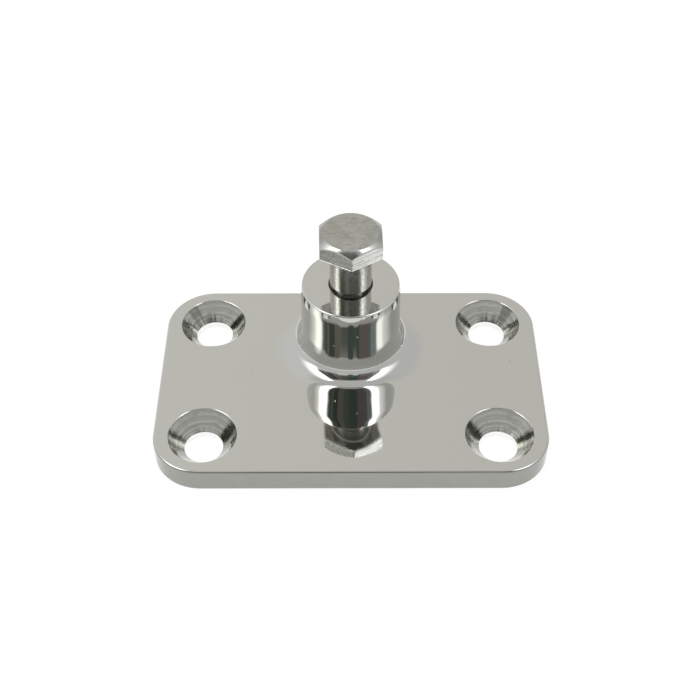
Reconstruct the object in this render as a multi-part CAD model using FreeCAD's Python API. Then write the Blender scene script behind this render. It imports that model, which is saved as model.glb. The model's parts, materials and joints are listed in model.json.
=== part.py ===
"""Side-mount deck hinge base for a canopy frame, with its fixed bolt.

A polished stainless plate is screwed to the deck through four countersunk holes.
A round boss stands on it, off the plate's centre. A bolt with a hexagon head screws
into the boss, and the eye end of a canopy tube turns on the bolt's plain shank, in
the gap between the head and the boss.

Millimetres. The origin is the centre of the plate's underside, +X runs along the
plate's long side, +Y points towards the side that the boss stands nearer to, and +Z
leaves the deck.
"""
import FreeCAD, Part
import math
import os

# Plate
plate_length = 76.0
plate_width = 48.5
plate_thickness = 5.0
plate_corner_radius = 9.5
plate_top_round = 0.5
plate_bottom_chamfer = 0.3

# Four screw holes, countersunk from above
screw_spacing_x = 57.0
screw_spacing_y = 30.2
screw_hole_diameter = 7.5
countersink_diameter = 13.6
countersink_angle = 90.0
countersink_lip_width = 0.2

# Boss: drafted side, rounded over towards its top by polishing and flared towards its root
boss_from_back_edge = 14.6
boss_height = 16.5
boss_top_diameter = 19.45
boss_draft_angle = 0.9
boss_edge_round = 0.4
boss_crown_radius = 20.0
boss_crown_angle = 9.0
boss_flare_radius = 12.5
boss_flare_angle = 17.0
boss_root_fillet = 3.8

# Blind tapped hole in the boss, shown at the thread's outer diameter
thread_size = 8.0
tapped_depth = 14.0
tapped_mouth_diameter = 8.8
drill_point_angle = 118.0

# Bolt
eye_gap = 9.3
shank_diameter = 8.2
shank_end_above_boss = 1.0
groove_diameter = 6.5
groove_width = 1.5
thread_length = 11.0
thread_clearance = 0.05
thread_tip_chamfer = 1.0
head_across_flats = 12.0
head_height = 4.0
head_flat_diameter = 11.0
head_chamfer_angle = 30.0
head_neck_round = 0.3
head_turn = 1.5

# Places and radii that follow from the sizes above
boss_offset_y = plate_width / 2 - boss_from_back_edge
boss_top_z = plate_thickness + boss_height
head_under_z = boss_top_z + eye_gap
head_top_z = head_under_z + head_height
shank_end_z = boss_top_z + shank_end_above_boss
thread_start_z = shank_end_z - groove_width
thread_end_z = thread_start_z - thread_length
thread_radius = thread_size / 2 - thread_clearance
boss_centre = FreeCAD.Vector(0, boss_offset_y, 0)
up = FreeCAD.Vector(0, 0, 1)


def in_section(radius, height):
    """Place a point of a turned section in the XZ plane."""
    return FreeCAD.Vector(radius, 0, height)


def line(start, end):
    """Straight edge between two (radius, height) points of a section."""
    return Part.LineSegment(in_section(*start), in_section(*end)).toShape()


def arc(start, middle, end):
    """Round edge through three (radius, height) points of a section."""
    return Part.Arc(in_section(*start), in_section(*middle), in_section(*end)).toShape()


def round_corner(centre, radius, from_angle, to_angle):
    """Arc of a section about a centre, from one angle to another, in degrees from +R."""
    def on_circle(angle):
        turn = math.radians(angle)
        return centre[0] + radius * math.cos(turn), centre[1] + radius * math.sin(turn)
    start = on_circle(from_angle)
    middle = on_circle((from_angle + to_angle) / 2)
    end = on_circle(to_angle)
    return start, end, arc(start, middle, end)


def turned(edges, centre=boss_centre):
    """Revolve a closed section about the vertical line through a centre."""
    section = Part.Face(Part.Wire(edges))
    section.translate(centre)
    return section.revolve(centre, up, 360)


def turned_outline(points, centre=boss_centre):
    """Revolve a section that has straight sides only."""
    closed = points + points[:1]
    edges = [line(a, b) for a, b in zip(closed[:-1], closed[1:])]
    return turned(edges, centre)


def screw_centres():
    """Centres of the four screw holes, on the underside of the plate."""
    for side_y in (-1, 1):
        for side_x in (-1, 1):
            yield FreeCAD.Vector(side_x * screw_spacing_x / 2, side_y * screw_spacing_y / 2, 0)


def plate_slab():
    """Flat plate with round corners, a soft top edge and a small chamfer round the bottom."""
    slab = Part.makeBox(plate_length, plate_width, plate_thickness,
                        FreeCAD.Vector(-plate_length / 2, -plate_width / 2, 0))
    upright = [edge for edge in slab.Edges if edge.BoundBox.ZLength > plate_thickness / 2]
    slab = slab.makeFillet(plate_corner_radius, upright)
    slab = slab.makeFillet(plate_top_round, edges_at_height(slab, plate_thickness))
    return slab.makeChamfer(plate_bottom_chamfer, edges_at_height(slab, 0))


def edges_at_height(solid, height):
    """Edges of a solid that lie flat at one height."""
    tolerance = 1e-6
    return [edge for edge in solid.Edges
            if abs(edge.BoundBox.ZMin - height) < tolerance
            and abs(edge.BoundBox.ZMax - height) < tolerance]


def boss():
    """Drafted boss: edge round, crown, side, flare and root fillet, one below the other.

    Each of the four arcs runs on into the next line of the section without a kink. The
    side's line meets the top's level at the top diameter. The lean of the section is the
    draft angle on the side, and the crown and the flare carry it on to their own angles.
    """
    draft = math.radians(boss_draft_angle)
    crown = math.radians(boss_crown_angle)
    flare = math.radians(boss_flare_angle)

    def side_radius(height):
        return boss_top_diameter / 2 + (boss_top_z - height) * math.tan(draft)

    # Crown, tangent to the side below it and to the edge round above it
    edge_reach = boss_crown_radius - boss_edge_round
    crown_centre_z = boss_top_z - boss_edge_round - edge_reach * math.sin(crown)
    crown_foot_z = crown_centre_z + boss_crown_radius * math.sin(draft)
    crown_centre = (side_radius(crown_foot_z) - boss_crown_radius * math.cos(draft),
                    crown_centre_z)
    edge_centre = (crown_centre[0] + edge_reach * math.cos(crown),
                   boss_top_z - boss_edge_round)
    # Flare, tangent to the side above it and to the root fillet below it
    fillet_z = plate_thickness + boss_root_fillet
    fillet_reach = boss_flare_radius - boss_root_fillet
    flare_centre_z = fillet_z + fillet_reach * math.sin(flare)
    flare_top_z = flare_centre_z - boss_flare_radius * math.sin(draft)
    flare_centre = (side_radius(flare_top_z) + boss_flare_radius * math.cos(draft),
                    flare_centre_z)
    fillet_centre = (flare_centre[0] - fillet_reach * math.cos(flare), fillet_z)

    edge_start, _, edge_arc = round_corner(edge_centre, boss_edge_round,
                                           90, boss_crown_angle)
    _, crown_end, crown_arc = round_corner(crown_centre, boss_crown_radius,
                                           boss_crown_angle, boss_draft_angle)
    flare_start, _, flare_arc = round_corner(flare_centre, boss_flare_radius,
                                             180 + boss_draft_angle,
                                             180 + boss_flare_angle)
    _, root_end, root_arc = round_corner(fillet_centre, boss_root_fillet,
                                         180 + boss_flare_angle, 270)
    # The foot goes half way into the plate, where it fuses with it
    foot_z = plate_thickness / 2
    edges = [line((0, foot_z), (0, boss_top_z)),
             line((0, boss_top_z), edge_start),
             edge_arc,
             crown_arc,
             line(crown_end, flare_start),
             flare_arc,
             root_arc,
             line(root_end, (root_end[0], foot_z)),
             line((root_end[0], foot_z), (0, foot_z))]
    return turned(edges)


def countersunk_hole(centre):
    """Cutter for one screw hole: through hole, cone and the lip that the polishing leaves.

    The lip leans half way between the cone and the plate's top.
    """
    hole_radius = screw_hole_diameter / 2
    rim_radius = countersink_diameter / 2
    half_angle = math.radians(countersink_angle / 2)
    lip_angle = (half_angle + math.pi / 2) / 2
    lip_z = plate_thickness - countersink_lip_width / math.tan(lip_angle)
    cone_bottom_z = lip_z - (rim_radius - hole_radius) / math.tan(half_angle)
    lip_radius = rim_radius + countersink_lip_width
    below = -plate_thickness
    above = 2 * plate_thickness
    return turned_outline([(0, below),
                           (hole_radius, below),
                           (hole_radius, cone_bottom_z),
                           (rim_radius, lip_z),
                           (lip_radius, plate_thickness),
                           (lip_radius, above),
                           (0, above)], centre)


def tapped_hole():
    """Cutter for the boss's blind hole: chamfered mouth, bore and drill point."""
    bore_radius = thread_size / 2
    mouth_radius = tapped_mouth_diameter / 2
    bottom_z = boss_top_z - tapped_depth
    point_z = bottom_z - bore_radius / math.tan(math.radians(drill_point_angle / 2))
    above = boss_top_z + tapped_depth
    return turned_outline([(0, point_z),
                           (bore_radius, bottom_z),
                           (bore_radius, boss_top_z - (mouth_radius - bore_radius)),
                           (mouth_radius, boss_top_z),
                           (mouth_radius, above),
                           (0, above)])


def base_plate():
    """The casting: plate and boss in one, drilled, countersunk and tapped."""
    casting = plate_slab().fuse(boss()).removeSplitter()
    cutters = [countersunk_hole(centre) for centre in screw_centres()]
    return casting.cut(cutters + [tapped_hole()])


def hexagon_head():
    """Hexagon prism whose top corners are turned off by a cone."""
    corner_radius = head_across_flats / 2 / math.cos(math.radians(30))
    corners = []
    for step in range(6):
        angle = math.radians(30 + 60 * step + head_turn)
        corners.append(FreeCAD.Vector(corner_radius * math.cos(angle),
                                      corner_radius * math.sin(angle), head_under_z))
    prism = Part.Face(Part.makePolygon(corners + corners[:1])).extrude(up * head_height)
    prism.translate(boss_centre)
    flat_radius = head_flat_diameter / 2
    outer_radius = 2 * corner_radius
    cone_drop = (outer_radius - flat_radius) * math.tan(math.radians(head_chamfer_angle))
    blank = turned_outline([(0, head_under_z),
                            (outer_radius, head_under_z),
                            (outer_radius, head_top_z - cone_drop),
                            (flat_radius, head_top_z),
                            (0, head_top_z)])
    return prism.common(blank)


def bolt_stem():
    """Everything below the head: neck round, plain shank, relief groove and thread."""
    shank_radius = shank_diameter / 2
    groove_radius = groove_diameter / 2
    tip_radius = thread_radius - thread_tip_chamfer
    neck_centre = (shank_radius + head_neck_round, head_under_z - head_neck_round)
    neck_start, neck_end, neck_arc = round_corner(neck_centre, head_neck_round, 90, 180)
    # The stem reaches half way into the head, where it fuses with it
    inside_z = head_under_z + head_height / 2
    edges = [line((0, thread_end_z), (tip_radius, thread_end_z)),
             line((tip_radius, thread_end_z), (thread_radius, thread_end_z + thread_tip_chamfer)),
             line((thread_radius, thread_end_z + thread_tip_chamfer),
                  (thread_radius, thread_start_z)),
             line((thread_radius, thread_start_z), (groove_radius, thread_start_z)),
             line((groove_radius, thread_start_z), (groove_radius, shank_end_z)),
             line((groove_radius, shank_end_z), (shank_radius, shank_end_z)),
             line((shank_radius, shank_end_z), neck_end),
             neck_arc,
             line(neck_start, (neck_start[0], inside_z)),
             line((neck_start[0], inside_z), (0, inside_z)),
             line((0, inside_z), (0, thread_end_z))]
    return turned(edges)


def hex_bolt():
    """The fixed bolt that carries the eye end."""
    return hexagon_head().fuse(bolt_stem()).removeSplitter()


def write(name, shape):
    """Write one piece to its own STEP file."""
    solid = shape.Solids[0]
    print(name, "solids", len(shape.Solids), "valid", shape.isValid(),
          "volume", round(solid.Volume, 1), "box", shape.BoundBox)
    solid.exportStep(os.path.join("parts", name + ".step"))


os.makedirs("parts", exist_ok=True)
write("base_plate", base_plate())
write("hex_bolt", hex_bolt())
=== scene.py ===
import json
import math

import bpy
import numpy as np
from mathutils import Matrix, Vector
from mathutils.geometry import delaunay_2d_cdt


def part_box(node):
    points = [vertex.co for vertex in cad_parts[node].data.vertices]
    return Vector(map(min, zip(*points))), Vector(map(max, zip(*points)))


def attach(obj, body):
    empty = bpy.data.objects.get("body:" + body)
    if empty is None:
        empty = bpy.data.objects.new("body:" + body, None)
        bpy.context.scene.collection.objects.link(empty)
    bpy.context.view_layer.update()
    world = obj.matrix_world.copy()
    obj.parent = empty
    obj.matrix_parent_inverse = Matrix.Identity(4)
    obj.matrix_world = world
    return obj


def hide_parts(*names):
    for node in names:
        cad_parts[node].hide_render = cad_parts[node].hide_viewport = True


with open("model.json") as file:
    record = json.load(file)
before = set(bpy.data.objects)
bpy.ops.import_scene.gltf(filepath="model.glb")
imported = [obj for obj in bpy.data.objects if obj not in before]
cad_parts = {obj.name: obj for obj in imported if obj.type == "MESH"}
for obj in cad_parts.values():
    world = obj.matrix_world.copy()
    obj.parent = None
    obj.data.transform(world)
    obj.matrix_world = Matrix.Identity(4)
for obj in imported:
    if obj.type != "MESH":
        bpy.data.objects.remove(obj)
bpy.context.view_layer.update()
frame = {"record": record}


def in_mm(metres):
    """One of the frame's lengths in millimetres, to a thousandth."""
    return round(1000 * metres, 3)


# What the frame says: the boxes of the two solids and the record's mounts
plate_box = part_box("base_plate")
bolt_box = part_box("hex_bolt")
mounts = {mount["name"]: mount for mount in frame["record"]["mounts"]}
screws = mounts["deck_screws"]["dims"]
eye_seat = mounts["eye_seat"]

# Plate
half_length = in_mm(plate_box[1].x)
half_width = in_mm(plate_box[1].y)
plate_top = 5.0
corner_radius = 9.5
top_round = 0.5
bottom_round = 0.3
# A faint hollow in the polish, between the boss and the middle of the front edge: its
# middle, its reach both ways, how far the normals lean, and how that grows with x
hollow_y = -17.8
hollow_reach_x = 11.0
hollow_reach_y = 3.6
hollow_lean_x = 0.013
hollow_lean_y = 0.018
hollow_skew = 0.0022

# Screw holes
hole_x = screws["spacing_x_mm"] / 2
hole_y = screws["spacing_y_mm"] / 2
hole_radius = screws["hole_r_mm"]
sink_radius = 6.87
sink_round = 0.35
# The countersink's lean from the upright in degrees, at its top and at its foot
sink_lean = (35.0, 44.0)

# Boss
boss_y = in_mm(eye_seat["pos_m"][1])
boss_top = in_mm(plate_box[1].z)
boss_radius = 9.8
boss_draft = 0.9
boss_edge = 0.4
# Down from the top: arcs that each carry the side's lean from the vertical on to an angle
crown_arcs = ((12.0, 5.5), (40.0, 7.5))
flare_top = 10.85
flare_arcs = ((10.8, 17.0), (2.5, 41.0))
toe_radius = 14.85
# How the polished toe leans towards the plate: degrees from level at a radius
toe_lean = ((10.86, 49.0), (11.3, 41.0), (11.8, 32.0), (12.3, 23.5), (12.9, 15.5), (13.4, 8.0),
            (13.9, 3.2), (14.4, 2.0), (14.85, 1.6))
# The leaning normals start at this radius
toe_start = 11.8
# From this radius on the toe runs out further at the sides, by this share. The share grows
# between two levels of abs(x) / r, and fades between two distances behind the boss's axis
toe_spread_start = 12.3
toe_spread = 1.3
toe_spread_side = (0.50, 0.72)
toe_spread_back = (0.0, 7.0)
# In front, the plate goes on leaning a little past the toe: the normal's share, and how far
raised_lean = 0.028
raised_width = 5.65
# The toe is drawn in from this radius on to stay clear of the plate's back edge
toe_neck = 12.0
toe_limit = half_width - 0.55
mouth_radius = 4.4
bore_radius = 4.0
bore_bottom = boss_top - 14.0
bore_thread_depth = 0.4
point_angle = 118.0

# Bolt
shank_radius = eye_seat["dims"]["r_mm"]
shank_end = boss_top + 0.75
shank_chamfer = 0.1
groove_radius = 3.25
thread_start = boss_top - 0.5
thread_end = in_mm(bolt_box[0].z)
thread_radius = bore_radius - 0.05
thread_pitch = 1.25
thread_depth = 0.77
tip_chamfer = 1.0
eye_gap = 9.3
head_under = boss_top + eye_gap
head_top = in_mm(bolt_box[1].z)
across_flats = 12.0
flat_radius = 5.33
neck_round = 0.3
head_turn = 1.5

BOSS = (0.0, boss_y)


class Skin:
    """Faces with one exact normal at each corner, welded where their points agree."""

    def __init__(self):
        self.index = {}
        self.points = []
        self.faces = []
        self.normals = []
        self.slots = []

    def corner(self, point):
        key = (round(point[0], 4), round(point[1], 4), round(point[2], 4))
        found = self.index.get(key)
        if found is None:
            found = self.index[key] = len(self.points)
            self.points.append(key)
        return found

    def face(self, points, normals, slot):
        """One face, turned so that it looks the way its normals do."""
        ids, kept = [], []
        for point, normal in zip(points, normals):
            i = self.corner(point)
            if i not in ids:
                ids.append(i)
                kept.append(normal)
        if len(ids) < 3:
            return
        a, b, c, d = (self.points[i] for i in (ids[0], ids[1], ids[2], ids[-1]))
        u = [c[k] - a[k] for k in range(3)]
        v = [d[k] - b[k] for k in range(3)]
        cross = (u[1] * v[2] - u[2] * v[1], u[2] * v[0] - u[0] * v[2], u[0] * v[1] - u[1] * v[0])
        if sum(cross[k] * sum(n[k] for n in kept) for k in range(3)) < 0:
            ids.reverse()
            kept.reverse()
        self.faces.append(ids)
        self.normals.extend(kept)
        self.slots.append(slot)

    def grid(self, points, normals, slot):
        """Quads over a lattice of points."""
        points, normals = points.tolist(), normals.tolist()
        for i in range(len(points) - 1):
            for j in range(len(points[0]) - 1):
                where = ((i, j), (i + 1, j), (i + 1, j + 1), (i, j + 1))
                self.face([points[a][b] for a, b in where], [normals[a][b] for a, b in where], slot)

    def flat(self, loops, inner, height, slot, inside, up=1.0, slope=None):
        """A level face between closed loops, meshed through the inner points as well."""
        flat, edges = [], []
        for loop in loops:
            start = len(flat)
            flat.extend(Vector((float(x), float(y))) for x, y in loop)
            count = len(loop)
            edges.extend((start + k, start + (k + 1) % count) for k in range(count))
        flat.extend(Vector((float(x), float(y))) for x, y in inner)
        found, _, triangles, _, _, _ = delaunay_2d_cdt(flat, edges, [], 0, 1e-6, True)
        for triangle in triangles:
            corners = [found[i] for i in triangle]
            middle = sum(corners, Vector((0.0, 0.0))) / 3
            if not inside(middle.x, middle.y):
                continue
            normals = []
            for c in corners:
                sx, sy = slope(c.x, c.y) if slope else (0.0, 0.0)
                size = math.sqrt(sx * sx + sy * sy + 1)
                normals.append((sx / size, sy / size, up / size))
            self.face([(c.x, c.y, height) for c in corners], normals, slot)

    def build(self, name, materials):
        """The mesh object, in metres."""
        mesh = bpy.data.meshes.new(name)
        mesh.from_pydata([tuple(c / 1000 for c in p) for p in self.points], [], self.faces)
        mesh.polygons.foreach_set("material_index", self.slots)
        mesh.shade_smooth()
        mesh.normals_split_custom_set([Vector(n).normalized() for n in self.normals])
        for material in materials:
            mesh.materials.append(material)
        mesh.update()
        made = bpy.data.objects.new(name, mesh)
        bpy.context.scene.collection.objects.link(made)
        return made


def turns(count):
    """Evenly spaced angles round a full turn, the first one again at the end."""
    return [2 * math.pi * k / count for k in range(count)] + [0.0]


def arc(centre, radius, start, end, steps, inward=False):
    """Points (r, z, nr, nz) of a round in a section, angles in degrees from +r."""
    rows = []
    for k in range(steps + 1):
        a = math.radians(start + (end - start) * k / steps)
        c, s = math.cos(a), math.sin(a)
        side = -1.0 if inward else 1.0
        rows.append((centre[0] + radius * c, centre[1] + radius * s, side * c, side * s))
    return rows


def straight(start, end, steps=1):
    """Points of a straight side of a section, its normal to the left of the way."""
    dr, dz = end[0] - start[0], end[1] - start[1]
    size = math.hypot(dr, dz)
    nr, nz = -dz / size, dr / size
    return [(start[0] + dr * k / steps, start[1] + dz * k / steps, nr, nz)
            for k in range(steps + 1)]


def flipped(rows):
    """The same side seen from the other side of its line."""
    return [(r, z, -nr, -nz) for r, z, nr, nz in rows]


def revolve(skin, rows, slot, angles, centre=BOSS, bend=None, lean=None, swell=0.0):
    """One smooth stretch of a turned section.

    bend changes a radius by the angle, and lean gives the normals of the toe by its place.
    swell makes the surface face as if it bulged a little to the front and the back.
    """
    points = np.zeros((len(angles), len(rows), 3))
    normals = np.zeros_like(points)
    for i, a in enumerate(angles):
        c, s = math.cos(a), math.sin(a)
        for j, (r, z, nr, nz) in enumerate(rows):
            if bend:
                r = bend(r, a)
            points[i, j] = (centre[0] + r * c, centre[1] + r * s, z)
            if lean and r > toe_start and nz > 0.5:
                nx, ny = lean(points[i, j, 0], points[i, j, 1])
                normals[i, j] = (nx, ny, math.sqrt(1 - nx * nx - ny * ny))
                continue
            facing = a - swell * math.sin(2 * a)
            c, s = math.cos(facing), math.sin(facing)
            normals[i, j] = (nr * c, nr * s, nz)
    skin.grid(points, normals, slot)


def circle(centre, radius, angles):
    """A closed loop of points, without the repeated last one."""
    return [(centre[0] + radius * math.cos(a), centre[1] + radius * math.sin(a))
            for a in angles[:-1]]


def rim(inset):
    """The plate's outline drawn in by a distance: (x, y, nx, ny), the first point repeated."""
    rows = []
    radius = corner_radius - inset
    arc_steps, side_steps = 40, (20, 38)
    for corner, (sx, sy) in enumerate(((1, -1), (1, 1), (-1, 1), (-1, -1))):
        cx, cy = sx * (half_length - corner_radius), sy * (half_width - corner_radius)
        first = -90 + 90 * corner
        for k in range(arc_steps + 1):
            a = math.radians(first + 90 * k / arc_steps)
            rows.append((cx + radius * math.cos(a), cy + radius * math.sin(a),
                         math.cos(a), math.sin(a)))
        x, y, nx, ny = rows[-1]
        steps = side_steps[corner % 2]
        length = 2 * ((half_width if corner % 2 == 0 else half_length) - corner_radius)
        for k in range(1, steps):
            rows.append((x - ny * length * k / steps, y + nx * length * k / steps, nx, ny))
    return rows + rows[:1]


def in_outline(x, y, inset):
    """True inside the plate's outline drawn in by a distance."""
    ax, ay = abs(x), abs(y)
    cx, cy = half_length - corner_radius, half_width - corner_radius
    if ax > half_length - inset or ay > half_width - inset:
        return False
    if ax > cx and ay > cy:
        return math.hypot(ax - cx, ay - cy) < corner_radius - inset
    return True


def thread(skin, slot, angles, low, high, radius, depth, outside):
    """A right-hand V thread between two heights, run out at both ends."""
    pitch = thread_pitch
    # Share of a pitch, and depth there: crest flat, flank, round root, flank
    shape = [(0.0, 0.0), (0.125, 0.0), (0.47, 0.86), (0.515, 0.97), (0.5625, 1.0),
             (0.61, 0.97), (0.655, 0.86)]
    rounds = int((high - low) / pitch) + 3
    start = low - 1.5 * pitch

    def at(level, angle):
        k, j = divmod(level, len(shape))
        share, deep = shape[j]
        z = start + pitch * (k + share + angle / (2 * math.pi))
        fade = min(1.0, max(0.0, (z - low) / (0.6 * pitch)), max(0.0, (high - z) / (0.6 * pitch)))
        r = radius + (-1 if outside else 1) * depth * deep * fade
        return r, min(max(z, low), high)

    count = len(shape) * rounds
    columns = sorted(angles[:-1])
    columns.append(columns[0] + 2 * math.pi)
    for i in range(len(columns) - 1):
        a, b = columns[i], columns[i + 1]
        left = [at(level, a) for level in range(count)]
        right = [at(level, b) for level in range(count)]
        for j in range(count - 1):
            (r0, z0), (r1, z1) = left[j], left[j + 1]
            (r2, z2), (r3, z3) = right[j], right[j + 1]
            dr, dz = (r1 + r3) - (r0 + r2), (z1 + z3) - (z0 + z2)
            size = math.hypot(dr, dz)
            if size < 1e-9:
                continue
            nr, nz = dz / size, -dr / size
            if not outside:
                nr, nz = -nr, -nz
            corner = []
            for r, z, t in ((r0, z0, a), (r2, z2, b), (r3, z3, b), (r1, z1, a)):
                corner.append((BOSS[0] + r * math.cos(t), BOSS[1] + r * math.sin(t), z))
            normal = [(nr * math.cos(t), nr * math.sin(t), nz) for t in (a, b, b, a)]
            skin.face(corner, normal, slot)


class Tree:
    """Short ways to write a node tree."""

    def __init__(self, owner):
        owner.use_nodes = True
        self.tree = owner.node_tree
        self.tree.nodes.clear()

    def add(self, kind, **settings):
        node = self.tree.nodes.new(kind)
        for key, value in settings.items():
            setattr(node, key, value)
        return node

    def put(self, socket, value):
        """Link a socket's output, or set a plain value."""
        if isinstance(value, bpy.types.NodeSocket):
            self.tree.links.new(value, socket)
        else:
            socket.default_value = value

    def math(self, operation, *values):
        node = self.add("ShaderNodeMath", operation=operation)
        for socket, value in zip(node.inputs, values):
            self.put(socket, value)
        return node.outputs[0]

    def vector(self, operation, *values):
        node = self.add("ShaderNodeVectorMath", operation=operation)
        for socket, value in zip(node.inputs, values):
            self.put(socket, value)
        return node.outputs["Value" if operation in ("LENGTH", "DISTANCE") else "Vector"]

    def split(self, vector):
        node = self.add("ShaderNodeSeparateXYZ")
        self.put(node.inputs[0], vector)
        return node.outputs

    def join(self, x, y, z):
        node = self.add("ShaderNodeCombineXYZ")
        for socket, value in zip(node.inputs, (x, y, z)):
            self.put(socket, value)
        return node.outputs[0]

    def step(self, value, low, high, to_low=0.0, to_high=1.0):
        """A smooth step of a value between two levels."""
        node = self.add("ShaderNodeMapRange", interpolation_type="SMOOTHSTEP")
        for name, v in (("Value", value), ("From Min", low), ("From Max", high),
                        ("To Min", to_low), ("To Max", to_high)):
            self.put(node.inputs[name], v)
        return node.outputs["Result"]

    def band(self, value, rise, top, end, fall):
        """One inside a band of a value, with soft sides."""
        return self.math("MULTIPLY", self.step(value, rise, top),
                         self.step(value, end, fall, 1.0, 0.0))

    def mix(self, factor, a, b):
        """Colour a where the factor is 0 and b where it is 1."""
        node = self.add("ShaderNodeMix", data_type="RGBA", clamp_factor=True)
        for socket, value in zip((node.inputs[0], node.inputs[6], node.inputs[7]), (factor, a, b)):
            self.put(socket, value)
        return node.outputs[2]

    def noise(self, vector, scale, detail=2.0, roughness=0.5):
        node = self.add("ShaderNodeTexNoise")
        for name, v in (("Vector", vector), ("Scale", scale), ("Detail", detail),
                        ("Roughness", roughness)):
            self.put(node.inputs[name], v)
        return node.outputs["Fac"]

    def cells(self, vector, scale):
        """Distance to the nearest of scattered points, in cells, and a random colour for it."""
        node = self.add("ShaderNodeTexVoronoi")
        self.put(node.inputs["Vector"], vector)
        self.put(node.inputs["Scale"], scale)
        return node.outputs["Distance"], node.outputs["Color"]

    def bump(self, height, distance=0.001):
        """Normals of a height, which is in units of the distance: millimetres as it stands."""
        node = self.add("ShaderNodeBump")
        self.put(node.inputs["Height"], height)
        self.put(node.inputs["Distance"], distance)
        return node.outputs[0]


def grey(level):
    return (level, level, level, 1.0)


def steel(name, colour, roughness, normal=None):
    """A metal with colour and roughness from callables that take the tree."""
    material = bpy.data.materials.new(name)
    t = Tree(material)
    shader = t.add("ShaderNodeBsdfPrincipled")
    shader.inputs["Metallic"].default_value = 1.0
    t.put(shader.inputs["Base Color"], colour(t))
    t.put(shader.inputs["Roughness"], roughness(t))
    if normal is not None:
        t.put(shader.inputs["Normal"], normal(t))
    out = t.add("ShaderNodeOutputMaterial")
    t.put(out.inputs["Surface"], shader.outputs[0])
    return material


def millimetres(t):
    """Object coordinates in millimetres."""
    place = t.add("ShaderNodeTexCoord").outputs["Object"]
    return t.vector("MULTIPLY", place, (1000.0, 1000.0, 1000.0))


def from_axis(t, point):
    """Distance from the bolt's axis in millimetres."""
    x, y, _ = t.split(point)
    return t.vector("LENGTH", t.join(x, t.math("SUBTRACT", y, boss_y), 0.0))


def from_hole(t, point):
    """Distance from the nearest screw hole's axis in millimetres."""
    x, y, _ = t.split(point)
    dx = t.math("SUBTRACT", t.math("ABSOLUTE", x), hole_x)
    dy = t.math("SUBTRACT", t.math("ABSOLUTE", y), hole_y)
    return t.vector("LENGTH", t.join(dx, dy, 0.0))


def pits(t, point, size, share):
    """Scattered small dark specks: 1 in a speck. size is the cell in millimetres."""
    distance, colour = t.cells(point, 1.0 / size)
    x, _, _ = t.split(colour)
    chosen = t.math("LESS_THAN", x, share)
    return t.math("MULTIPLY", chosen, t.step(distance, 0.03, 0.09, 1.0, 0.0))


def patchy(scale, detail, low, high, top=0.7):
    """A roughness that wanders between two levels in soft patches."""
    return lambda t: t.step(t.noise(millimetres(t), scale, detail), 0.3, top, low, high)


def clouded(scale, detail, dark, light):
    """A colour that wanders between two."""
    return lambda t: t.mix(t.noise(millimetres(t), scale, detail), dark, light)


def rings(t, scale, detail, roughness):
    """Turning marks round the bolt's axis."""
    distance = from_axis(t, millimetres(t))
    return t.noise(t.join(distance, 0.0, 0.0), scale, detail, roughness)


# Nicks in the polished boss: one in the rim in front, two smaller ones on its side
nicks = (((2.5, 0.25, 21.2), 0.42), ((1.3, -0.15, 16.4), 0.2), ((-3.3, 0.4, 13.6), 0.24))


# Polished casting: nearly a mirror, faintly uneven, with a few tiny pits. Its tone is also painted
# lighter towards the left, as a painted sheen
def polished_colour(t):
    p = millimetres(t)
    x, _, _ = t.split(p)
    # Random patches, plus a painted sheen: adding x makes the left of the plate lighter
    cloud_and_left_sheen = t.math("MULTIPLY_ADD", t.noise(p, 0.12, 3.0), 14.0, x)
    base = t.mix(t.step(cloud_and_left_sheen, -30.0, 44.0), (0.592, 0.592, 0.565, 1), (0.558, 0.553, 0.529, 1))
    return t.mix(pits(t, p, 4.0, 0.2), base, (0.2, 0.2, 0.19, 1))


def polished_normal(t):
    p = millimetres(t)
    wave = t.noise(p, 0.09, 1.0)
    fine = t.noise(p, 1.3, 3.0)
    speck = pits(t, p, 4.0, 0.12)
    height = t.math("ADD", t.math("MULTIPLY", wave, 0.02), t.math("MULTIPLY", fine, 0.00025))
    height = t.math("SUBTRACT", height, t.math("MULTIPLY", speck, 0.01))
    for place, size in nicks:
        near = t.step(t.vector("DISTANCE", p, place), 0.0, size, 1.0, 0.0)
        height = t.math("SUBTRACT", height, t.math("MULTIPLY", near, 0.25 * size))
    return t.bump(height)


polished = steel("polished_casting", polished_colour,
                 patchy(0.5, 4.0, 0.03, 0.06, top=0.8), polished_normal)


# The bright land below each countersink
land = steel("bright_land", clouded(0.8, 3.0, (0.90, 0.90, 0.88, 1), (0.97, 0.97, 0.95, 1)),
             patchy(1.5, 3.0, 0.15, 0.25))

# The plate's upright sides, ground and less polished. Their dark tone is also painted shade,
# standing for the shaded floor beside the plate that they mirror
ground = steel("ground_side", clouded(0.4, 3.0, (0.31, 0.31, 0.285, 1), (0.35, 0.35, 0.325, 1)),
               patchy(0.8, 4.0, 0.10, 0.16),
               lambda t: t.bump(t.noise(millimetres(t), 2.0, 4.0), 0.000002))


# Countersinks, turned with a little chatter
def sink_rings(t, scale, detail):
    """Turning marks round the nearest hole."""
    p = millimetres(t)
    _, _, z = t.split(p)
    wander = t.math("MULTIPLY", t.noise(p, 0.5, 2.0), 0.5)
    return t.noise(t.join(t.math("ADD", from_hole(t, p), wander), 0.0, t.math("MULTIPLY", z, 0.3)),
                   scale, detail, 0.6)


def sink_colour(t):
    p = millimetres(t)
    base = t.mix(t.step(sink_rings(t, 2.6, 3.0), 0.3, 0.7),
                 (0.31, 0.31, 0.285, 1), (0.50, 0.50, 0.465, 1))
    return t.mix(t.step(t.noise(p, 0.6, 3.0), 0.5, 0.8), base, (0.34, 0.34, 0.32, 1))


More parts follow.
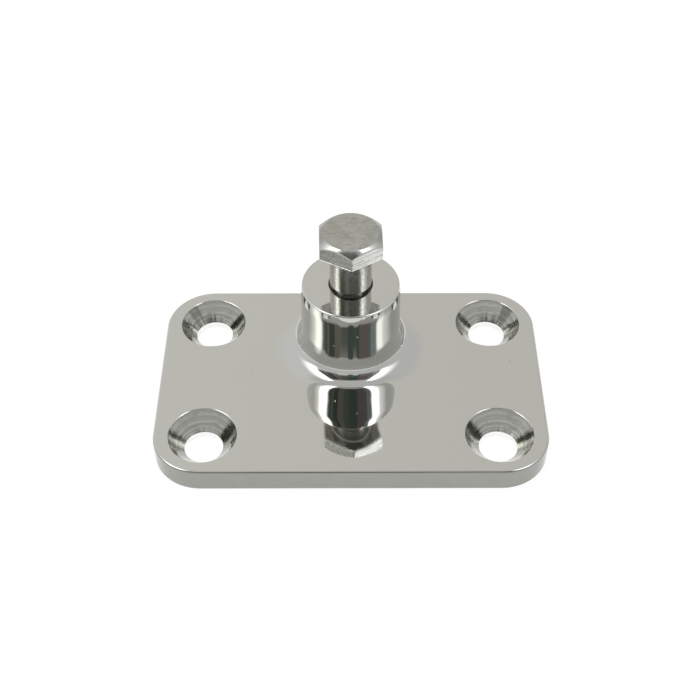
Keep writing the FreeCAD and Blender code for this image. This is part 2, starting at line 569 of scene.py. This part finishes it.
def sink_normal(t):
    p = millimetres(t)
    height = t.math("ADD", t.math("MULTIPLY", sink_rings(t, 3.2, 3.0), 0.014),
                    t.math("MULTIPLY", t.noise(p, 0.8, 3.0), 0.02))
    return t.bump(height)


sunk = steel("turned_countersink", sink_colour, patchy(0.9, 3.0, 0.08, 0.17), sink_normal)


# Bolt: satin top, brushed flats, bright shank, dull thread
def satin_colour(t):
    p = millimetres(t)
    base = t.mix(t.step(t.noise(p, 0.45, 4.0), 0.3, 0.7),
                 (0.395, 0.395, 0.365, 1), (0.465, 0.465, 0.44, 1))
    base = t.mix(t.step(t.noise(p, 1.1, 5.0, 0.65), 0.58, 0.68), base, (0.34, 0.34, 0.32, 1))
    streaks = t.noise(t.vector("MULTIPLY", p, (0.45, 1.3, 1.0)), 1.5, 6.0, 0.75)
    base = t.mix(t.step(streaks, 0.55, 0.61), base, (0.31, 0.31, 0.285, 1))
    return t.mix(pits(t, p, 1.3, 0.25), base, (0.24, 0.24, 0.23, 1))


def satin_normal(t):
    p = millimetres(t)
    height = t.math("SUBTRACT", t.math("MULTIPLY", t.noise(p, 2.5, 5.0), 0.006),
                    t.math("MULTIPLY", pits(t, p, 1.3, 0.25), 0.02))
    return t.bump(height)


satin = steel("satin_head_top", satin_colour, patchy(1.2, 4.0, 0.24, 0.34), satin_normal)


def cone_colour(t):
    p = millimetres(t)
    _, y, _ = t.split(p)
    base = t.mix(t.noise(p, 1.5, 4.0), (0.45, 0.45, 0.43, 1), (0.56, 0.56, 0.54, 1))
    # Painted shade: the chamfer's back half is painted darker
    return t.mix(t.step(y, boss_y - 3.6, boss_y - 1.5), base, (0.36, 0.36, 0.34, 1))


coned = steel("turned_chamfer", cone_colour, patchy(2.0, 4.0, 0.18, 0.27),
              lambda t: t.bump(t.math("MULTIPLY", rings(t, 4.0, 3.0, 0.6), 0.008)))


def streaks(t, p):
    """Streaks along the flats, as a grinding belt leaves them."""
    return t.noise(t.vector("MULTIPLY", p, (0.2, 0.2, 2.2)), 1.0, 2.0, 0.5)


def brushed_colour(t):
    p = millimetres(t)
    x, _, _ = t.split(p)
    marks = t.step(streaks(t, p), 0.3, 0.7)
    # Painted light and shade: faces on the right get the lighter colours, faces on the left the
    # darker ones; the streaks are real
    shaded_left = t.mix(marks, (0.345, 0.345, 0.325, 1), (0.46, 0.46, 0.435, 1))
    lit_right = t.mix(marks, (0.48, 0.48, 0.46, 1), (0.72, 0.72, 0.70, 1))
    return t.mix(t.step(x, 0.0, 0.5), shaded_left, lit_right)


def brushed_normal(t):
    p = millimetres(t)
    height = t.math("ADD", t.math("MULTIPLY", streaks(t, p), 0.014),
                    t.math("MULTIPLY", t.noise(p, 0.7, 2.0), 0.02))
    return t.bump(height)


brushed = steel("brushed_head_side", brushed_colour, patchy(1.5, 3.0, 0.24, 0.34), brushed_normal)

burr = steel("burnished_edge", clouded(1.2, 3.0, (0.76, 0.76, 0.73, 1), (0.97, 0.97, 0.94, 1)),
             patchy(1.5, 3.0, 0.3, 0.45))


# The head's underside: real turning rings, in a dark tone that is painted shade under the head
def under_colour(t):
    return t.mix(t.step(rings(t, 1.6, 2.0, 0.5), 0.35, 0.65),
                 (0.27, 0.27, 0.25, 1), (0.38, 0.38, 0.35, 1))


under = steel("turned_underside", under_colour, patchy(1.5, 3.0, 0.08, 0.14),
              lambda t: t.bump(t.math("MULTIPLY", rings(t, 2.5, 2.0, 0.5), 0.01)))


def at_neck(t):
    """One under the head, where the eye doesn't reach and the shank is left matt; the shank's
    colour is also painted darker there, as shade under the head.
    """
    _, _, z = t.split(millimetres(t))
    return t.step(z, 28.0, 28.9)


def rubbed(t, p):
    """Mottling where the eye's bore has rubbed the shank."""
    return t.noise(t.vector("MULTIPLY", p, (2.4, 2.4, 1.2)), 1.0, 5.0, 0.7)


def shank_colour(t):
    p = millimetres(t)
    turning = t.noise(t.vector("MULTIPLY", p, (0.1, 0.1, 3.0)), 1.0, 4.0)
    base = t.mix(turning, (0.48, 0.48, 0.45, 1), (0.60, 0.60, 0.57, 1))
    base = t.mix(t.step(rubbed(t, p), 0.46, 0.6), base, (0.41, 0.41, 0.38, 1))
    # Painted shade: the shank is painted darker just under the head
    return t.mix(at_neck(t), base, (0.36, 0.36, 0.34, 1))


def shank_roughness(t):
    worn = t.step(rubbed(t, millimetres(t)), 0.46, 0.6, 0.07, 0.2)
    return t.math("MAXIMUM", worn, t.math("MULTIPLY", at_neck(t), 0.4))


def shank_normal(t):
    p = millimetres(t)
    turning = t.noise(t.vector("MULTIPLY", p, (0.2, 0.2, 5.0)), 1.0, 4.0)
    return t.bump(t.math("ADD", t.math("MULTIPLY", turning, 0.006),
                         t.math("MULTIPLY", rubbed(t, p), 0.03)))


turned = steel("turned_shank", shank_colour, shank_roughness, shank_normal)


threaded = steel("cut_thread", clouded(1.0, 4.0, (0.24, 0.235, 0.22, 1), (0.40, 0.40, 0.38, 1)),
                 patchy(1.5, 3.0, 0.20, 0.35))


# Base plate: its materials, in the order of its slots
POLISHED, LAND, GROUND, SUNK, THREADED = range(5)


def smooth(value, low, high):
    """A smooth step from 0 to 1 between two levels."""
    t = min(1.0, max(0.0, (value - low) / (high - low)))
    return t * t * (3 - 2 * t)


def toe_slope(x, y):
    """Lean of the toe and of the plate round it, as the normal's x and y parts.

    In front the toe ends soon. It runs out further to the left and right.
    """
    dx, dy = x, y - boss_y
    r = math.hypot(dx, dy)
    further = smooth(abs(dx) / r, *toe_spread_side) * (1 - smooth(dy, *toe_spread_back))
    past = max(0.0, r - toe_spread_start)
    level = r - past + past / (1 + toe_spread * further)
    if level < toe_radius:
        lean = math.sin(math.radians(np.interp(level, *zip(*toe_lean))))
    else:
        fade = 1 - smooth(level, toe_radius, toe_radius + raised_width)
        lean = raised_lean * fade * max(0.0, -dy / r) ** 2
    return lean * dx / r, lean * dy / r


def plate_slope(x, y):
    """How far the polished top leans at a point, away from level.

    Polishing has left it a little raised round the boss's toe, and faintly hollow
    between the boss and the middle of the front edge.
    """
    ax, ay = toe_slope(x, y)
    hollow = (math.exp(-((y - hollow_y) / hollow_reach_y) ** 2)
              * math.exp(-(x / hollow_reach_x) ** 2))
    return ax - hollow * (hollow_lean_x + hollow_skew * x), ay + hollow_lean_y * hollow


def boss_section():
    """The boss's outside from the plate's top to its own top: (r, z, nr, nz)."""
    draft = math.radians(boss_draft)

    def side_r(z):
        return boss_radius + (boss_top - z) * math.tan(draft)

    def polar(radius, angle):
        return radius * math.cos(math.radians(angle)), radius * math.sin(math.radians(angle))

    r, z, lean = side_r(flare_top), flare_top, boss_draft
    rows = []
    for radius, angle in flare_arcs:
        dr, dz = polar(radius, lean)
        centre = (r + dr, z + dz)
        rows += arc(centre, radius, 180 + lean, 180 + angle, 12, inward=True)[:-1]
        dr, dz = polar(radius, angle)
        r, z, lean = centre[0] - dr, centre[1] - dz, angle
    # The toe dies away into the plate
    steep, rise, width = math.tan(math.radians(90 - lean)), z - plate_top, toe_radius - r
    fade = rise / steep
    rest = rise * math.exp(-width / fade)
    for k in range(31):
        along = width * (k / 30) ** 1.3
        left = math.exp(-along / fade)
        slope = math.radians(np.interp(r + along, *zip(*toe_lean)))
        rows.append((r + along, plate_top + rise * left - rest * along / width,
                     math.sin(slope), math.cos(slope)))
    rows.reverse()
    # The crown, from the edge round down to the drafted side
    drop = sum(radius * (math.sin(math.radians(a)) - math.sin(math.radians(b)))
               for (radius, a), b in zip(crown_arcs, (boss_draft, crown_arcs[0][1])))
    level = boss_top - boss_edge * (1 - math.sin(math.radians(crown_arcs[-1][1]))) - drop
    r, z, lean = side_r(level), level, boss_draft
    rows += flipped(straight(rows[-1][:2], (r, z), 8))[1:-1]
    for radius, angle in crown_arcs:
        dr, dz = polar(radius, lean)
        centre = (r - dr, z - dz)
        rows += arc(centre, radius, lean, angle, 8)[:-1]
        dr, dz = polar(radius, angle)
        r, z, lean = centre[0] + dr, centre[1] + dz, angle
    dr, dz = polar(boss_edge, lean)
    return rows, arc((r - dr, z - dz), boss_edge, lean, 90, 10)


def toe_reach(angle, root):
    """The toe's outer radius at an angle: it stops short of the plate's back edge."""
    rise = math.sin(angle)
    return min(root, (toe_limit - boss_y) / rise) if rise > 0.5 else root


def base_skin():
    """The casting: the plate with its holes, the toe, and the boss with its tapped hole."""
    skin = Skin()
    touch = 1e-3
    ring = turns(192)
    small = turns(96)
    side, top = boss_section()
    root = side[0][0]

    def bend(r, angle):
        """Draw the toe in where the plate's back edge is near."""
        if r <= toe_neck:
            return r
        share = (toe_reach(angle, root) - toe_neck) / (root - toe_neck)
        return toe_neck + (r - toe_neck) * share

    def past_toe(x, y, gap):
        reach = toe_reach(math.atan2(y - boss_y, x), root)
        return math.hypot(x, y - boss_y) > reach + gap

    # Upright sides with the rounds above and below them
    rows = []
    for k in range(9):
        a = math.radians(90 - 90 * k / 8)
        rows.append((top_round * (1 - math.cos(a)), plate_top - top_round * (1 - math.sin(a)),
                     math.cos(a), math.sin(a)))
    low = []
    for k in range(5):
        a = math.radians(90 * k / 4)
        low.append((bottom_round * (1 - math.cos(a)), bottom_round * (1 - math.sin(a)),
                    math.cos(a), -math.sin(a)))
    wall = [rows[-1], low[0]]
    for part, slot in ((rows[:5], POLISHED), (rows[4:], GROUND), (wall, GROUND), (low, GROUND)):
        loops = [rim(inset) for inset, _, _, _ in part]
        points = np.array([[(x, y, z) for x, y, _, _ in loop]
                           for loop, (_, z, _, _) in zip(loops, part)])
        normals = np.array([[(nx * nh, ny * nh, nz) for _, _, nx, ny in loop]
                            for loop, (_, _, nh, nz) in zip(loops, part)])
        skin.grid(points, normals, slot)
    # Top and underside
    holes = [(sx * hole_x, sy * hole_y) for sx in (-1, 1) for sy in (-1, 1)]

    def off_holes(x, y, radius):
        return all(math.hypot(x - a, y - b) > radius for a, b in holes)

    def on_top(x, y):
        return (in_outline(x, y, top_round) and past_toe(x, y, -touch)
                and off_holes(x, y, sink_radius - touch))

    def clear(x, y):
        return (in_outline(x, y, top_round + 0.5) and past_toe(x, y, 0.4)
                and off_holes(x, y, sink_radius + 0.4))

    # Points of the top, closer together round the boss, where the normals change
    lattice = [(x, y) for x in np.arange(-37.0, 37.5, 1.25) for y in np.arange(-23.5, 24.0, 1.25)
               if clear(x, y) and not (abs(x) < 19.0 and y > -9.0)]
    lattice += [(x, y) for x in np.arange(-18.9, 19.0, 0.45) for y in np.arange(-8.9, 20.0, 0.45)
                if clear(x, y)]
    outer = [(x, y) for x, y, _, _ in rim(top_round)[:-1]]
    toe = [(toe_reach(a, root) * math.cos(a), boss_y + toe_reach(a, root) * math.sin(a))
           for a in ring[:-1]]
    loops = [outer, toe] + [circle(h, sink_radius, small) for h in holes]
    skin.flat(loops, lattice, plate_top, POLISHED, on_top, slope=plate_slope)
    outer = [(x, y) for x, y, _, _ in rim(bottom_round)[:-1]]
    loops = [outer] + [circle(h, hole_radius, small) for h in holes]
    skin.flat(loops, [], 0.0, GROUND, lambda x, y: off_holes(x, y, hole_radius - touch), up=-1.0)
    # Countersinks: the lip's round, a cone that grows flatter with its depth, and the land
    lip = []
    for k in range(10):
        a = math.radians(55 * k / 9)
        lip.append((sink_radius - sink_round * math.sin(a),
                    plate_top - sink_round * (1 - math.cos(a)), -math.sin(a), math.cos(a)))
    r, z = lip[-1][:2]
    cone, step = [], (r - hole_radius) / 12
    for k in range(13):
        lean = math.radians(sink_lean[0] + (sink_lean[1] - sink_lean[0]) * k / 12)
        cone.append((r, z, -math.cos(lean), math.sin(lean)))
        r, z = r - step, z - step / math.tan(lean)
    for h in holes:
        revolve(skin, lip, POLISHED, small, h)
        revolve(skin, cone, SUNK, small, h)
        revolve(skin, [(hole_radius, z, -1.0, 0.0) for z in (cone[-1][1], 0.0)], LAND, small, h)
    # Boss, its top and the tapped hole
    revolve(skin, side + top[:1], POLISHED, ring, bend=bend, lean=toe_slope)
    revolve(skin, top, POLISHED, ring)
    mouth = boss_top - (mouth_radius - bore_radius)
    revolve(skin, [(r, boss_top, 0.0, 1.0) for r in (top[-1][0], 8.0, 6.5, 5.2, mouth_radius)],
            POLISHED, ring)
    revolve(skin, flipped(straight((mouth_radius, boss_top), (bore_radius, mouth))), THREADED, ring)
    thread(skin, THREADED, ring, bore_bottom, mouth, bore_radius, bore_thread_depth,
           outside=False)
    drop = bore_radius / math.tan(math.radians(point_angle / 2))
    revolve(skin, flipped(straight((bore_radius, bore_bottom), (0.0, bore_bottom - drop), 4)),
            THREADED, ring)
    return skin


plate = base_skin().build("cast_base", [polished, land, ground, sunk, threaded])
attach(plate, "base")
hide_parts("base_plate")


# Bolt: its materials, in the order of its slots
SATIN, CONE, BRUSHED, BURR, UNDER, TURNED, CUT = range(7)
corner_round = 0.25
edge_round = 0.2
edge_in = edge_round * 0.7
edge_down = edge_round * 0.6
burr_round = 0.3
# A thin burr turns the upper part of that round upwards: the way it faces, in degrees
# below level, from its upper end to its lower end
burr_facing = (-57.0, 90.0)
# The shank looks as if it bulged a little to the front and the back
shank_swell = 0.12
# The head's top: how steep it is at a radius, in degrees
turned_top = ((5.33, 0.0), (5.39, 33.0), (5.7, 36.0), (6.0, 38.0), (6.4, 42.0), (7.0, 46.0))


def hexagon():
    """The head's outline with softened corners: (x, y, nx, ny) about the axis."""
    rows = []
    reach = (across_flats / 2 - corner_round) / math.cos(math.radians(30))
    for k in range(6):
        at = 60 * k + 30 + head_turn
        cx, cy = reach * math.cos(math.radians(at)), reach * math.sin(math.radians(at))
        for step in range(7):
            a = math.radians(at - 30 + 10 * step)
            rows.append((cx + corner_round * math.cos(a), cy + corner_round * math.sin(a),
                         math.cos(a), math.sin(a)))
        x, y, nx, ny = rows[-1]
        length = 2 * (across_flats / 2 - corner_round) * math.tan(math.radians(30))
        for step in range(1, 18):
            rows.append((x - ny * length * step / 18, y + nx * length * step / 18, nx, ny))
    return rows + rows[:1]


def bolt_skin():
    """The bolt: its head by the outline's angle, then the stem turned about its axis."""
    skin = Skin()
    outline = hexagon()
    angles = [math.atan2(y, x) % (2 * math.pi) for x, y, _, _ in outline]

    def lean(r):
        """Slope of the turned top at a radius, in radians."""
        return math.radians(np.interp(r, *zip(*turned_top)))

    radii = np.linspace(flat_radius, 7.0, 201)
    steep = np.tan([lean(r) for r in radii])
    drop = np.concatenate(([0.0], np.cumsum((steep[1:] + steep[:-1]) / 2 * np.diff(radii))))

    def top_z(r):
        return head_top - float(np.interp(r, radii, drop))

    def level(kind, slot):
        """Rows of the lattice from a function of the outline's point and its angle."""
        rows = [kind(*point, angle) for point, angle in zip(outline, angles)]
        points = np.array([[p for p, _ in row] for row in rows]) + np.array([0, boss_y, 0])
        normals = np.array([[n for _, n in row] for row in rows])
        skin.grid(points, normals, slot)

    def radial(r, z, a, out, rise):
        c, s = math.cos(a), math.sin(a)
        return (r * c, r * s, z), (out * c, out * s, rise)

    def top(x, y, nx, ny, a):
        return [radial(r, head_top, a, 0.0, 1.0) for r in (0.0, 1.6, 3.2, flat_radius)]

    def cone(x, y, nx, ny, a):
        reach = math.hypot(x, y) - edge_in
        rows = []
        for k in range(13):
            r = flat_radius + (reach - flat_radius) * (k / 12) ** 2
            rows.append(radial(r, top_z(r), a, math.sin(lean(r)), math.cos(lean(r))))
        return rows

    def shoulder(x, y, nx, ny, a):
        reach = math.hypot(x, y)
        inner = reach - edge_in
        c, s = math.cos(a), math.sin(a)
        start = np.array((inner * c, inner * s, top_z(inner)))
        end = np.array((x, y, top_z(reach) - edge_down))
        tilt = lean(inner)
        first = np.array((math.sin(tilt) * c, math.sin(tilt) * s, math.cos(tilt)))
        last = np.array((nx, ny, 0.0))
        bulge = np.array((x, y, top_z(reach)))
        rows = []
        for k in range(6):
            f = k / 5
            normal = first * (1 - f) + last * f
            place = start * (1 - f) ** 2 + bulge * 2 * f * (1 - f) + end * f * f
            rows.append((tuple(place), tuple(normal / np.linalg.norm(normal))))
        return rows

    def side(x, y, nx, ny, a):
        high = top_z(math.hypot(x, y)) - edge_down
        low = head_under + burr_round
        return [((x, y, high + (low - high) * k / 4), (nx, ny, 0.0)) for k in range(5)]

    def bottom_edge(x, y, nx, ny, a):
        first, last = burr_facing
        rows = []
        for k in range(6):
            turn = math.radians(90 * k / 5)
            inset = burr_round * (1 - math.cos(turn))
            facing = math.radians(first + (last - first) * (k / 5) ** 3)
            rows.append(((x - nx * inset, y - ny * inset,
                          head_under + burr_round * (1 - math.sin(turn))),
                         (nx * math.cos(facing), ny * math.cos(facing), -math.sin(facing))))
        return rows

    neck_radius = shank_radius + neck_round

    def under(x, y, nx, ny, a):
        start = np.array((x - nx * burr_round, y - ny * burr_round, head_under))
        end = np.array((neck_radius * math.cos(a), neck_radius * math.sin(a), head_under))
        return [(tuple(start + (end - start) * k / 3), (0.0, 0.0, -1.0)) for k in range(4)]

    for kind, slot in ((top, SATIN), (cone, CONE), (shoulder, CONE), (side, BRUSHED),
                       (bottom_edge, BURR), (under, UNDER)):
        level(kind, slot)
    # Stem: neck, shank, groove, thread and tip
    ends = shank_end + shank_chamfer
    tapered = shank_radius - shank_chamfer
    revolve(skin, arc((neck_radius, head_under - neck_round), neck_round, 90, 180, 5, inward=True),
            TURNED, angles)
    levels = (head_under - neck_round, 28.0, 25.0, ends)
    revolve(skin, [(shank_radius, z, 1.0, 0.0) for z in levels], TURNED, angles,
            swell=shank_swell)
    revolve(skin, flipped(straight((tapered, shank_end), (shank_radius, ends))), TURNED, angles)
    revolve(skin, [(r, shank_end, 0.0, -1.0) for r in (tapered, groove_radius)], CUT, angles)
    revolve(skin, [(groove_radius, z, 1.0, 0.0) for z in (shank_end, thread_start)], CUT, angles)
    revolve(skin, [(r, thread_start, 0.0, 1.0) for r in (groove_radius, thread_radius)],
            CUT, angles)
    thread(skin, CUT, angles, thread_end + tip_chamfer, thread_start, thread_radius, thread_depth,
           outside=True)
    tip = thread_radius - tip_chamfer
    chamfer = straight((tip, thread_end), (thread_radius, thread_end + tip_chamfer), 2)
    revolve(skin, flipped(chamfer), CUT, angles)
    revolve(skin, [(r, thread_end, 0.0, -1.0) for r in (tip, 0.0)], CUT, angles)
    return skin


bolt = bolt_skin().build("turned_bolt",
                         [satin, coned, brushed, burr, under, turned, threaded])
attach(bolt, "bolt")
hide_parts("hex_bolt")


def floor_material():
    """Pale and matt. Eyes and mirrors see it white, with the object's soft shadow kept."""
    material = bpy.data.materials.new("pale_floor")
    t = Tree(material)
    matt = t.add("ShaderNodeBsdfDiffuse")
    t.put(matt.inputs["Color"], t.mix(t.noise(millimetres(t), 0.01, 2.0), grey(0.84), grey(0.86)))
    glow = t.add("ShaderNodeEmission")
    glow.inputs["Color"].default_value = (1, 1, 1, 1)
    path = t.add("ShaderNodeLightPath").outputs
    seen = t.math("MAXIMUM", t.math("MAXIMUM", path["Is Camera Ray"], path["Is Glossy Ray"]),
                  path["Is Transmission Ray"])
    # Seen, 0.7 of the matt floor gives way to a plain white glow
    blend = t.add("ShaderNodeMixShader")
    t.put(blend.inputs[0], t.math("MULTIPLY", seen, 0.7))
    t.put(blend.inputs[1], matt.outputs[0])
    t.put(glow.inputs["Strength"], t.math("MULTIPLY", seen, 0.84))
    none = t.add("ShaderNodeEmission")
    none.inputs["Strength"].default_value = 0.0
    t.put(blend.inputs[2], none.outputs[0])
    both = t.add("ShaderNodeAddShader")
    t.put(both.inputs[0], blend.outputs[0])
    t.put(both.inputs[1], glow.outputs[0])
    out = t.add("ShaderNodeOutputMaterial")
    t.put(out.inputs["Surface"], both.outputs[0])
    return material


# Half the floor's side, in metres
reach = 15.0
mesh = bpy.data.meshes.new("floor")
mesh.from_pydata([(-reach, -reach, 0), (reach, -reach, 0), (reach, reach, 0), (-reach, reach, 0)],
                 [], [(0, 1, 2, 3)])
mesh.materials.append(floor_material())
floor = bpy.data.objects.new("floor", mesh)
bpy.context.scene.collection.objects.link(floor)


def studio():
    """A soft white tent: two bright panels at the sides and a dim opening at the camera."""
    world = bpy.data.worlds.new("studio")
    bpy.context.scene.world = world
    t = Tree(world)
    x, y, z = t.split(t.add("ShaderNodeTexCoord").outputs["Generated"])
    degrees = 180 / math.pi
    azimuth = t.math("MULTIPLY", t.math("ARCTAN2", x, t.math("MULTIPLY", y, -1.0)), degrees)
    height = t.math("MULTIPLY", t.math("ARCSINE", z), degrees)
    # Tent behind and at the sides
    colour = t.mix(t.step(azimuth, -60.0, 60.0), grey(0.84), grey(0.74))
    away = t.math("ABSOLUTE", azimuth)
    colour = t.mix(t.step(away, 140.0, 172.0), colour, (0.815, 0.808, 0.765, 1))
    front = t.step(away, 60.0, 95.0, 1.0, 0.0)
    low = t.mix(front, colour, grey(0.70))
    colour = t.mix(t.step(height, 20.0, 40.0, 1.0, 0.0), colour, low)
    # Roof
    colour = t.mix(t.step(height, 60.0, 68.0), colour, grey(0.67))
    # Dim opening with its stripes: it grows narrower upwards, and darker
    narrow = t.step(height, 43.0, 60.0, 1.0, 1.15)
    across = t.math("MULTIPLY", azimuth, narrow)
    dim = (0.13, 0.155, 0.135, 1)
    for start, end, stripe in (
            (-76, -60, (0.22, 0.25, 0.23, 1)), (-54.5, -50, (0.24, 0.28, 0.25, 1)),
            (-50, -37, (0.10, 0.12, 0.10, 1)), (-37, -21, (0.25, 0.25, 0.21, 1)),
            (-21, -6, (0.165, 0.185, 0.16, 1)), (-6, 19, (0.115, 0.15, 0.13, 1)),
            (19, 37, (0.26, 0.21, 0.205, 1)), (37, 46, (0.22, 0.24, 0.235, 1)),
            (46, 68, (0.40, 0.46, 0.46, 1))):
        dim = t.mix(t.band(across, start - 1.5, start + 1.5, end - 1.5, end + 1.5), dim, stripe)
    dim = t.vector("MULTIPLY", dim, t.join(*[t.step(height, 44.0, 50.0, 1.0, 0.62)] * 3))
    # Pale cloths hang into it from below, on either side of the middle
    teeth = t.math("MAXIMUM", t.band(azimuth, -30.0, -22.0, -8.0, -3.0),
                   t.band(azimuth, 3.0, 6.0, 12.0, 18.0))
    foot = t.math("ADD", t.math("MULTIPLY", teeth, 5.0), 33.0)
    opening = t.math("MULTIPLY", t.band(across, -74.0, -68.0, 61.0, 66.0),
                     t.math("MULTIPLY", t.step(t.math("SUBTRACT", height, foot), 0.0, 7.0),
                            t.step(height, 65.0, 71.0, 1.0, 0.0)))
    colour = t.mix(opening, colour, dim)
    # Bright panels, their inner edges along the opening's: a hot core and a softer tail
    hot = t.step(height, 44.0, 52.0, 1.0, 1.55)
    for outer, inner, edge, foot, tail, core in (
            ((-114.0, -86.0), (-95.0, -80.0), (-64.0, -76.0), 26.0,
             (1.75, 1.77, 1.74), (2.95, 3.0, 2.92)),
            ((110.0, 80.0), (83.0, 72.0), (57.5, 66.0), 31.0,
             (1.66, 1.7, 1.72), (2.75, 2.8, 2.85))):
        here = t.math("MULTIPLY", t.step(across, *edge),
                      t.band(height, foot, foot + 10.0, 68.0, 76.0))
        colour = t.mix(t.math("MULTIPLY", t.step(azimuth, *outer), here), colour, (*tail, 1.0))
        colour = t.mix(t.math("MULTIPLY", t.step(azimuth, *inner), here), colour,
                       t.vector("MULTIPLY", core, t.join(hot, hot, hot)))
    light = t.add("ShaderNodeBackground")
    t.put(light.inputs["Color"], colour)
    light.inputs["Strength"].default_value = 1.0
    out = t.add("ShaderNodeOutputWorld")
    t.put(out.inputs["Surface"], light.outputs[0])


studio()

# The camera fitted to the photograph: its focal length and the frame in pixels, its place in
# metres, and how far it looks down, to the right and tilts, in degrees
focal_pixels = 1235.8
frame_pixels = 700
camera_place = (-0.000417, -0.165999, 0.188176)
camera_turn = (46.596, 0.09, -0.038)
data = bpy.data.cameras.new("camera")
data.sensor_width = 36.0
data.lens = focal_pixels / frame_pixels * data.sensor_width
data.clip_start = 0.01
data.clip_end = 60.0
camera = bpy.data.objects.new("camera", data)
bpy.context.scene.collection.objects.link(camera)
pitch, yaw, roll = (math.radians(angle) for angle in camera_turn)
ahead = Vector((math.sin(yaw) * math.cos(pitch), math.cos(yaw) * math.cos(pitch), -math.sin(pitch)))
right = Vector((math.cos(yaw), -math.sin(yaw), 0))
above = right.cross(ahead)
across = math.cos(roll) * right + math.sin(roll) * above
above = math.cos(roll) * above - math.sin(roll) * right
turned_to = Matrix((across, above, -ahead)).transposed()
camera.matrix_world = Matrix.Translation(camera_place) @ turned_to.to_4x4()
bpy.context.scene.camera = camera

bpy.context.scene.view_settings.view_transform = "Standard"
